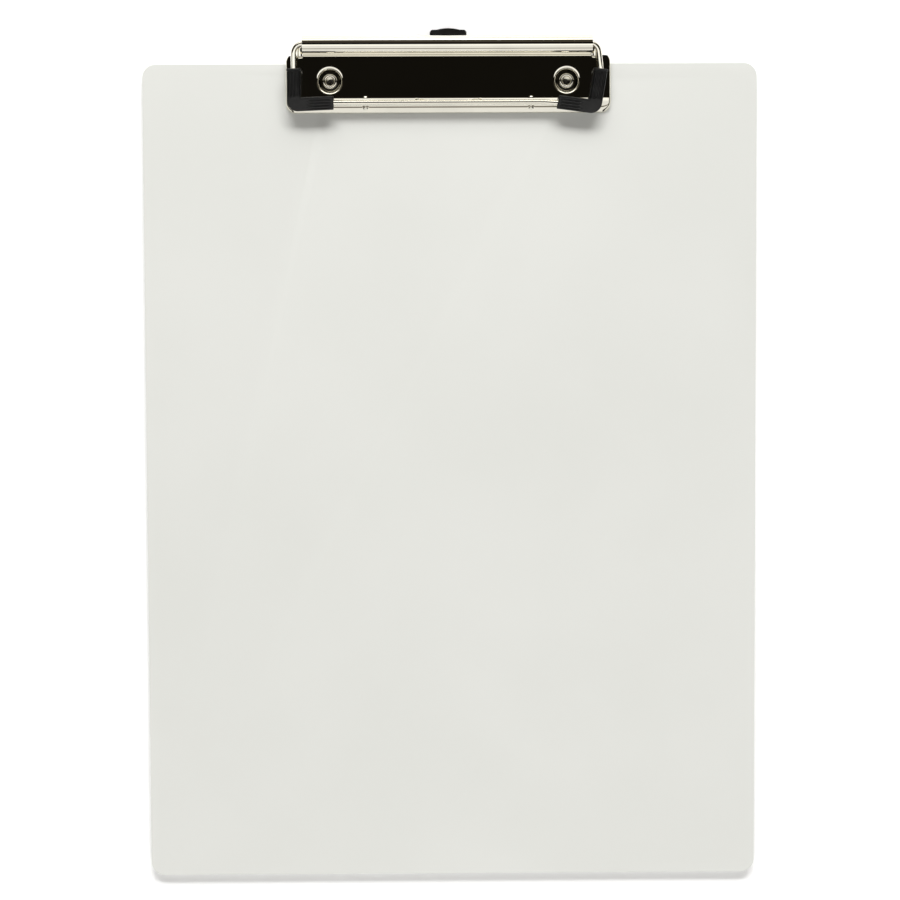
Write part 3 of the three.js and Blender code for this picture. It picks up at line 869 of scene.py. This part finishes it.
def make_grip(name, node, rear, corner, inner, wire_rear, wire_corner, wire_inner):
    """An L-shaped sleeve: one leg from rear to corner, one on to inner, and the wire's channel."""
    rear, corner, inner = (np.array(p, float) for p in (rear, corner, inner))
    forward = (corner - rear) / np.linalg.norm(corner - rear)
    along = (inner - corner) / np.linalg.norm(inner - corner)
    outward = -along
    up = np.array((0.0, 0.0, 1.0))
    section = grip_section()
    inner_corner = corner - (GRIP_W + GRIP_INNER) * (outward + forward)
    first = (inner_corner - rear) @ forward
    second = (inner - inner_corner) @ along
    rings = []

    def leg_ring(place, axis, **look):
        shape = ribbed(section, **look)
        rings.append([flat(place) + flat(axis) * a + up * h for a, h in shape])

    for s in spans((0, COLLAR, 0.1), (COLLAR, 2.2, 0.1), (2.2, first, 0.4)):
        swell = COLLAR_SWELL * smooth((COLLAR - s) / NECK_HALF + 1)
        if abs(s - NECK) < NECK_HALF:
            swell -= NECK_DEPTH
        ribs = smooth((s - RIBS_FROM_END) / 0.25) * smooth((first - s) / RIB_FADE + 0.4)
        leg_ring(rear + forward * s, outward, ribs=ribs, swell=swell, inset=drawn_in(s))

    wide = 2 * GRIP_W + GRIP_INNER
    knob = wide - GRIP_CORNER
    for turn in np.radians(np.arange(3, 90, 3)):
        ray = outward * math.cos(turn) + forward * math.sin(turn)
        near = knob * (math.cos(turn) + math.sin(turn))
        if wide * math.tan(min(turn, math.pi / 2 - turn)) < knob:
            reach = wide / math.cos(min(turn, math.pi / 2 - turn))
        else:
            reach = near + math.sqrt(near ** 2 - 2 * knob ** 2 + GRIP_CORNER ** 2)
        share = (section[:, 0] + GRIP_W) / (2 * GRIP_W)
        out = GRIP_INNER + share * (reach - GRIP_INNER)
        rings.append([flat(inner_corner) + flat(ray) * o + up * h for o, h in zip(out, section[:, 1])])

    start = (inner_corner - corner) @ along
    for s in spans((0, second - 0.6, 0.4), (second - 0.6, second, 0.1)):
        left = second - s
        ribs = smooth((s - 1.6) / RIB_FADE) * smooth((left - RIBS_FROM_END) / 0.3)
        leg_ring(corner + along * (start + s), forward, ribs=ribs, swell=0, inset=drawn_in(left))

    skin, faces = joined_rings(rings, close_start=False, close_end=False)
    bore = [flat(p) for p in filleted([wire_rear, wire_corner, wire_inner], [BEND])]
    offset = (flat(wire_rear) - flat(rear)) @ flat(outward)
    angles = np.arctan2(section[:, 1], section[:, 0] - offset)
    hole_rings = []
    for k, place in enumerate(bore):
        ahead = bore[min(k + 1, len(bore) - 1)] - bore[max(k - 1, 0)]
        ahead /= np.linalg.norm(ahead)
        axis = np.cross(up, ahead)
        axis *= np.sign(axis @ (flat(outward) + flat(forward)))
        hole_rings.append([place + CHANNEL * (axis * math.cos(a) + up * math.sin(a)) for a in angles])
    hole, hole_faces = joined_rings(hole_rings, close_start=False, close_end=False)
    base, count = len(skin), len(section)
    total = base + len(hole)
    faces += [tuple(n + base for n in face) for face in hole_faces]
    join_loops(faces, range(count), range(base, base + count))
    join_loops(faces, range(base - count, base), range(total - count, total))
    mesh = mesh_of(name, in_bail(np.array(list(skin) + list(hole))), faces)
    return finish_piece(name, mesh, rubber, "bail", [node], sharp=50)


# ---------------------------------------------------------------- hanger

HANGER_TOP = FACE + 0.7
HANGER_HALF = 6.8
TAIL_END = TOP_EDGE - 13.6
LIP_FRONT = BARREL_Y + BARREL_R + 0.3
LIP_REAR = TOP_EDGE + 12.1
LIP_STEP = 0.8  # how far the tongue stops short of the lip's rear
LIP_ROUND = 1.2
SWELL_HALF = 4.2  # half the width of the swelling at the lip's rear
SWELL = 0.55
HANGER_HOLE = 3.5
HANGER_HOLE_Y = TOP_EDGE + 5.6
HANGER_EDGE = 0.25


def make_hanger():
    """The sliding tongue with its wider tail, its hole and its raised rear lip."""
    half, tail_half = HANGER_HALF, (hanger_high[0] - hanger_low[0]) / 2
    tail, bottom, lip_top = hanger_low[1], hanger_low[2], hanger_high[2]

    def in_clip(outline):
        return [(CLIP_X + x, y) for x, y in outline]

    tongue_end = LIP_REAR - LIP_STEP
    tongue = in_clip([
        (-tail_half, tail), (tail_half, tail), (tail_half, TAIL_END), (half, TAIL_END),
        (half, tongue_end), (-half, tongue_end), (-half, TAIL_END), (-tail_half, TAIL_END)])
    swelling = [(x, LIP_REAR + SWELL * (1 - (x / SWELL_HALF) ** 2)) for x in np.linspace(3.7, -3.7, 13)]
    rear = arc((half - LIP_ROUND, LIP_REAR - LIP_ROUND), LIP_ROUND, 0, 80, 6)
    rear += [(SWELL_HALF, LIP_REAR)] + swelling + [(-SWELL_HALF, LIP_REAR)]
    rear += arc((LIP_ROUND - half, LIP_REAR - LIP_ROUND), LIP_ROUND, 100, 180, 6)
    lip = in_clip([(-half, LIP_FRONT), (half, LIP_FRONT)] + rear)
    hole = in_clip(arc((0, HANGER_HOLE_Y), HANGER_HOLE, 0, 360, 72)[:-1])
    mesh = shaped(
        mesh_of("tongue", *extruded(tongue, bottom, HANGER_TOP)),
        joins=[mesh_of("lip", *extruded(lip, bottom, lip_top))],
        cuts=[mesh_of("hole", *extruded(hole, bottom - 1, HANGER_TOP + 0.5))],
        bevel=HANGER_EDGE, segments=3)
    mesh.name = "slide_out_hanger"
    return finish_piece("slide_out_hanger", mesh, plastic, "hanger", ["hanger"], sharp=30)


# ---------------------------------------------------------------- floor, light and camera

FLOOR_HALF = 6000
FLOOR_Z = -0.02
GLOW = 0.35  # how much the floor glows from GLOW_FULL metres out; it starts at GLOW_START
GLOW_START = 0.7
GLOW_FULL = 3.0

# The studio's parts, as bands of angle from straight up, in degrees: start, full, fading, end.
# The first four lie towards +Y or, below zero, towards -Y. The last lies to both sides.
OVERHEAD = (-30, -8)  # the overhead panel brightens over this stretch
REAR_PANEL = (56, 58, 63, 66)
GAP = (-4.5, 0.5, 51, 57)  # dark, between the overhead panel and the rear one
FRONT_GAP = (-62, -59, -54, -51)  # nearly dark, in front
SIDE_GAP = (50, 60, 96, 100)
OVERHEAD_LIGHT = (0.85, 1.15)
REAR_LIGHT = 3.0
FRONT_GAP_DEPTH = 0.85
GAP_LIGHT = (0.006, 0.058)  # what is left in a gap, at either end of GAP_RISE
GAP_RISE = (16, 26)
PANEL_TINT = (1.0, 0.995, 0.975)
GAP_TINT = (1.0, 0.88, 0.66)


def make_floor():
    """A plain pale floor. Far from the lamps it glows a little, to stay pale up to the backdrop."""
    half, z = FLOOR_HALF, FLOOR_Z
    corners = [(-half, -half, z), (half, -half, z), (half, half, z), (-half, half, z)]
    mesh = mesh_of("studio_floor", corners, [(0, 1, 2, 3)])
    floor = bpy.data.objects.new("studio_floor", mesh)
    bpy.context.scene.collection.objects.link(floor)
    s = Shader("studio_floor")
    s.set(Roughness=1.0, Specular_IOR_Level=0.0)
    mottle = s.ranged(s.noise(400, detail=2), 0.3, 0.7, 0, 1)
    s.join(s.mixed(mottle, *FLOOR_WHITES), s.surface.inputs["Base Color"])
    distance = s.node("ShaderNodeVectorMath", operation="LENGTH")
    s.join(s.place, distance.inputs[0])
    glow = s.ranged(distance.outputs["Value"], GLOW_START, GLOW_FULL, 0, GLOW)
    s.join(glow, s.surface.inputs["Emission Strength"])
    s.set(Emission_Color=(1, 1, 1, 1))
    floor.data.materials.append(s.material)
    return floor


def make_world():
    """A pale studio round the object, with dark gaps between its panels. Seen directly it is all pale."""
    world = bpy.data.worlds.new("studio")
    bpy.context.scene.world = world
    world.use_nodes = True
    tree = world.node_tree
    background = tree.nodes["Background"]
    place = tree.nodes.new("ShaderNodeTexCoord").outputs["Generated"]
    split = tree.nodes.new("ShaderNodeSeparateXYZ")
    tree.links.new(place, split.inputs[0])

    def math_node(operation, first, second=None):
        node = tree.nodes.new("ShaderNodeMath")
        node.operation = operation
        for slot, value in zip(node.inputs, (first, second)):
            if value is None:
                continue
            if isinstance(value, (int, float)):
                slot.default_value = value
            else:
                tree.links.new(value, slot)
        return node.outputs[0]

    def step(value, low, high, start=0.0, end=1.0):
        node = tree.nodes.new("ShaderNodeMapRange")
        node.interpolation_type = "SMOOTHSTEP"
        for key, number in zip(("From Min", "From Max", "To Min", "To Max"), (low, high, start, end)):
            node.inputs[key].default_value = math.radians(number) if key.startswith("From") else number
        tree.links.new(value, node.inputs["Value"])
        return node.outputs["Result"]

    def band(angle, start, full, fading, end, level=1.0):
        return math_node("MULTIPLY", step(angle, start, full), step(angle, fading, end, level, 0))

    back = math_node("ARCTAN2", split.outputs["Y"], split.outputs["Z"])
    sideways = math_node("ARCTAN2", math_node("ABSOLUTE", split.outputs["X"]), split.outputs["Z"])
    gaps = math_node("MAXIMUM", band(back, *GAP), band(sideways, *SIDE_GAP))
    front_gap = math_node("MULTIPLY", band(back, *FRONT_GAP), FRONT_GAP_DEPTH)
    dark = math_node("MAXIMUM", gaps, front_gap)
    panels = math_node("ADD", step(back, *OVERHEAD, *OVERHEAD_LIGHT), band(back, *REAR_PANEL, REAR_LIGHT))
    bright = math_node("MULTIPLY", panels, math_node("SUBTRACT", 1.0, dark))
    dim = math_node("MULTIPLY", dark, step(back, *GAP_RISE, *GAP_LIGHT))
    in_view = tree.nodes.new("ShaderNodeLightPath").outputs["Is Camera Ray"]
    out_of_view = math_node("SUBTRACT", 1.0, in_view)
    lit = math_node("MULTIPLY", math_node("ADD", bright, dim), out_of_view)
    tree.links.new(math_node("ADD", lit, in_view), background.inputs["Strength"])
    tint = tree.nodes.new("ShaderNodeMix")
    tint.data_type = "RGBA"
    tint.inputs["A"].default_value = (*PANEL_TINT, 1)
    tint.inputs["B"].default_value = (*GAP_TINT, 1)
    tree.links.new(math_node("MULTIPLY", dark, out_of_view), tint.inputs["Factor"])
    tree.links.new(tint.outputs["Result"], background.inputs["Color"])


def make_lamp(name, place, aim, wide, tall, power):
    """A soft lamp from place towards aim. It lights surfaces and isn't mirrored in them."""
    data = bpy.data.lights.new(name, "AREA")
    data.shape = "ELLIPSE"
    data.size = wide * MM
    data.size_y = tall * MM
    data.energy = power
    lamp = bpy.data.objects.new(name, data)
    bpy.context.scene.collection.objects.link(lamp)
    lamp.location = Vector(place) * MM
    lamp.rotation_euler = (Vector(aim) - Vector(place)).to_track_quat("-Z", "Y").to_euler()
    lamp.visible_glossy = False
    lamp.visible_camera = False
    return lamp


CAMERA_LENS = 84.993
CAMERA_PLACE = (-7.611, 53.967, 800.0)
CAMERA_TURN = (-3.25767, -0.52455, -0.23858)  # degrees


def make_camera():
    """The photograph's viewpoint: nearly straight above, a little above the board's middle."""
    data = bpy.data.cameras.new("camera")
    data.sensor_width = 36
    data.lens = CAMERA_LENS
    data.clip_start = 0.01
    data.clip_end = 20
    camera = bpy.data.objects.new("camera", data)
    bpy.context.scene.collection.objects.link(camera)
    camera.location = Vector(CAMERA_PLACE) * MM
    camera.rotation_euler = [math.radians(a) for a in CAMERA_TURN]
    bpy.context.scene.camera = camera


make_camera()
make_world()
make_floor()
make_lamp("key", place=(60, 1700, 1450), aim=(0, 100, 0), wide=2000, tall=600, power=53.3)
make_lamp("fill", place=(0, -600, 400), aim=(0, -60, 0), wide=500, tall=500, power=1.3)
bpy.context.scene.view_settings.view_transform = "Standard"

make_board()
make_base_plate()
for side in (-1, 1):
    make_rivet(side)
    make_torsion_leg(side)
make_bail_wire()
make_grip("rubber_grip_left", "corner_grip_left", **LEFT_GRIP)
make_grip("rubber_grip_right", "corner_grip_right", **RIGHT_GRIP)
make_hanger()
